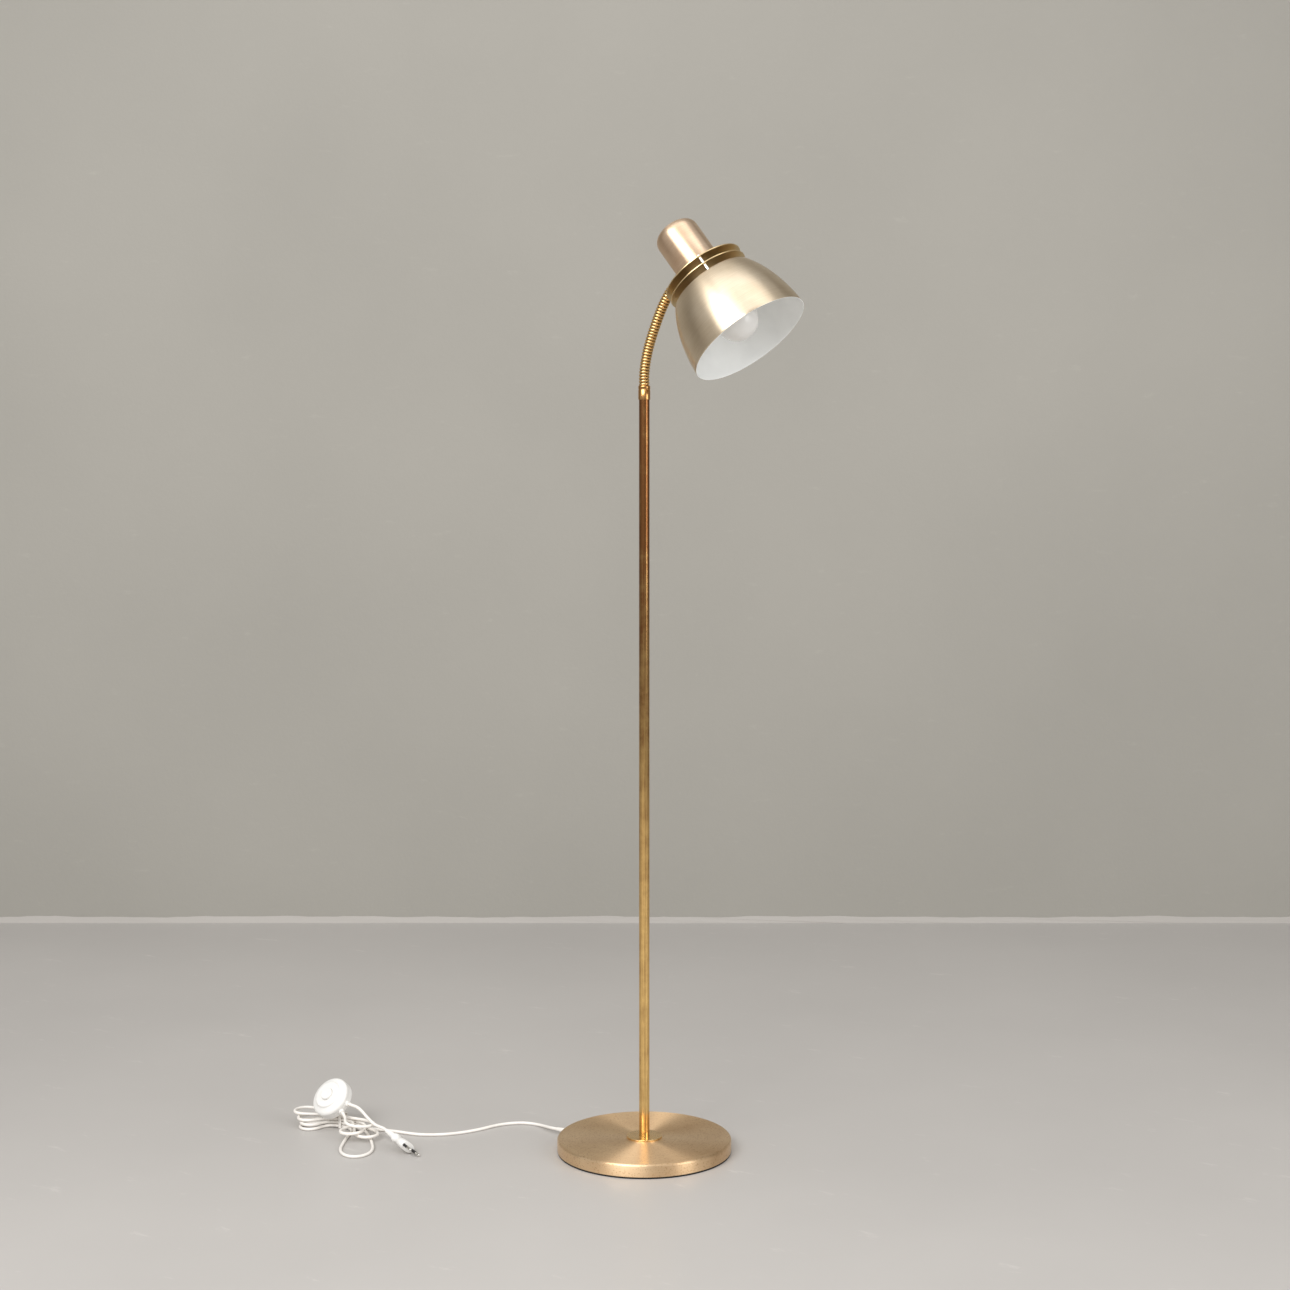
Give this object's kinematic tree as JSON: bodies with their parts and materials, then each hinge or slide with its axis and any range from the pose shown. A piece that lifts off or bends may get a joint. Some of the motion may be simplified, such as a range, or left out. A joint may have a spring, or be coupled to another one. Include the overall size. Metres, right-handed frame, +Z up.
{
  "type": "floor lamp",
  "caption": "Floor lamp with a weighted round base, straight stem, gooseneck and bell shade on spaced rings; tied white cord with foot switch and plug.",
  "frame": {"origin": "centre of the base's underside, on the floor", "axes": "+Z up along the stem, +X towards the side that the shade leans to, cord leaves the base towards -X"},
  "size_m": [0.7591, 0.3758, 1.3283],
  "materials": {
    "base_brass": "brushed, clear lacquer",
    "stem_brass": "polished",
    "neck_brass": "polished",
    "head_brass": "brushed, clear lacquer",
    "ring_brass": "polished",
    "iron": "raw",
    "floor_pad": "matt",
    "steel": "zinc plated",
    "white_plastic": "gloss",
    "porcelain": "smooth",
    "cord_white": "satin",
    "contact_brass": "bright",
    "sleeve": "matt",
    "bulb_glass": "white coated"
  },
  "bodies": {
    "stand": {"base_cover": "base_brass", "base_weight": "iron", "base_pad": "floor_pad", "stem_washer": "steel", "stem_nut": "steel", "stem_nipple": "steel", "stem_collar": "base_brass", "stem_foot_insert": "steel", "stem_tube": "stem_brass", "stem_top_insert": "steel", "stem_lead": "cord_white", "cord_clamp": "steel", "clamp_screws": "steel", "cord_bush": "cord_white", "neck_ferrule": "stem_brass", "neck_base": "neck_brass", "cord_lead": "cord_white", "cord_hank": "cord_white", "cord_tie": "cord_white", "cord_switch_lead": "cord_white", "cord_plug_lead": "cord_white", "switch_base": "white_plastic", "switch_cover": "white_plastic", "switch_spring": "steel", "switch_contacts": "contact_brass", "switch_screws": "steel", "plug_body": "white_plastic", "plug_pins": "contact_brass", "plug_sleeves": "sleeve"},
    "neck_1": {"neck_link_1": "neck_brass"},
    "neck_2": {"neck_link_2": "neck_brass"},
    "neck_3": {"neck_link_3": "neck_brass"},
    "neck_4": {"neck_link_4": "neck_brass"},
    "neck_5": {"neck_link_5": "neck_brass"},
    "neck_6": {"neck_link_6": "neck_brass"},
    "neck_7": {"neck_link_7": "neck_brass"},
    "neck_8": {"neck_link_8": "neck_brass"},
    "head": {"neck_end": "neck_brass", "neck_nut": "steel", "cap": "head_brass", "holder_bracket": "steel", "holder_nipple": "steel", "holder_nuts": "steel", "holder_wires": "cord_white", "holder_dome": "white_plastic", "holder_skirt": "white_plastic", "holder_ring": "white_plastic", "holder_insert": "porcelain", "holder_screw_shell": "contact_brass", "ring_upper": "ring_brass", "ring_lower": "ring_brass", "ring_spacers": "steel", "head_screws": "steel", "head_nuts": "steel", "shade": "head_brass", "bulb_globe": "bulb_glass", "bulb_cap": "steel"},
    "button": {"switch_button": "white_plastic"}
  },
  "joints": [
    {"name": "neck_pitch", "type": "hinge", "parent": "stand", "child": "neck_1", "pos_m": [0, 0, 1.11251], "axis": [0, 1, 0], "range_deg": [-10, 8]},
    {"name": "neck_sway", "type": "hinge", "parent": "neck_1", "child": "neck_2", "pos_m": [0.00212, 0, 1.12978], "axis": [-0.9848, 0, 0.1736], "range_deg": [-10, 10]},
    {"name": "neck_pitch_2", "type": "hinge", "parent": "neck_2", "child": "neck_3", "pos_m": [0.00604, 0, 1.14674], "axis": [0, 1, 0], "range_deg": [-10, 8]},
    {"name": "neck_sway_2", "type": "hinge", "parent": "neck_3", "child": "neck_4", "pos_m": [0.01141, 0, 1.16328], "axis": [-0.9426, 0, 0.3338], "range_deg": [-10, 10]},
    {"name": "neck_pitch_3", "type": "hinge", "parent": "neck_4", "child": "neck_5", "pos_m": [0.01765, 0, 1.17953], "axis": [0, 1, 0], "range_deg": [-10, 8]},
    {"name": "neck_sway_3", "type": "hinge", "parent": "neck_5", "child": "neck_6", "pos_m": [0.02445, 0, 1.19555], "axis": [-0.9081, 0, 0.4187], "range_deg": [-10, 10]},
    {"name": "neck_pitch_4", "type": "hinge", "parent": "neck_6", "child": "neck_7", "pos_m": [0.03221, 0, 1.21112], "axis": [0, 1, 0], "range_deg": [-10, 8]},
    {"name": "neck_sway_4", "type": "hinge", "parent": "neck_7", "child": "neck_8", "pos_m": [0.04169, 0, 1.22571], "axis": [-0.7907, 0, 0.6122], "range_deg": [-10, 10]},
    {"name": "neck_pitch_5", "type": "hinge", "parent": "neck_8", "child": "head", "pos_m": [0.05344, 0, 1.23854], "axis": [0, 1, 0], "range_deg": [-10, 8]},
    {"name": "button_press", "type": "slide", "parent": "stand", "child": "button", "axis": [0.0934, 0.7603, -0.6428], "range_m": [0, 0.003], "stiffness_N_per_m": 300, "springref_m": -0.002}
  ],
  "couplings": [
    {"joint": "neck_pitch_2", "follows": "neck_pitch", "ratio": 1},
    {"joint": "neck_sway_2", "follows": "neck_sway", "ratio": 1},
    {"joint": "neck_pitch_3", "follows": "neck_pitch", "ratio": 1},
    {"joint": "neck_sway_3", "follows": "neck_sway", "ratio": 1},
    {"joint": "neck_pitch_4", "follows": "neck_pitch", "ratio": 1},
    {"joint": "neck_sway_4", "follows": "neck_sway", "ratio": 1},
    {"joint": "neck_pitch_5", "follows": "neck_pitch", "ratio": 1}
  ]
}
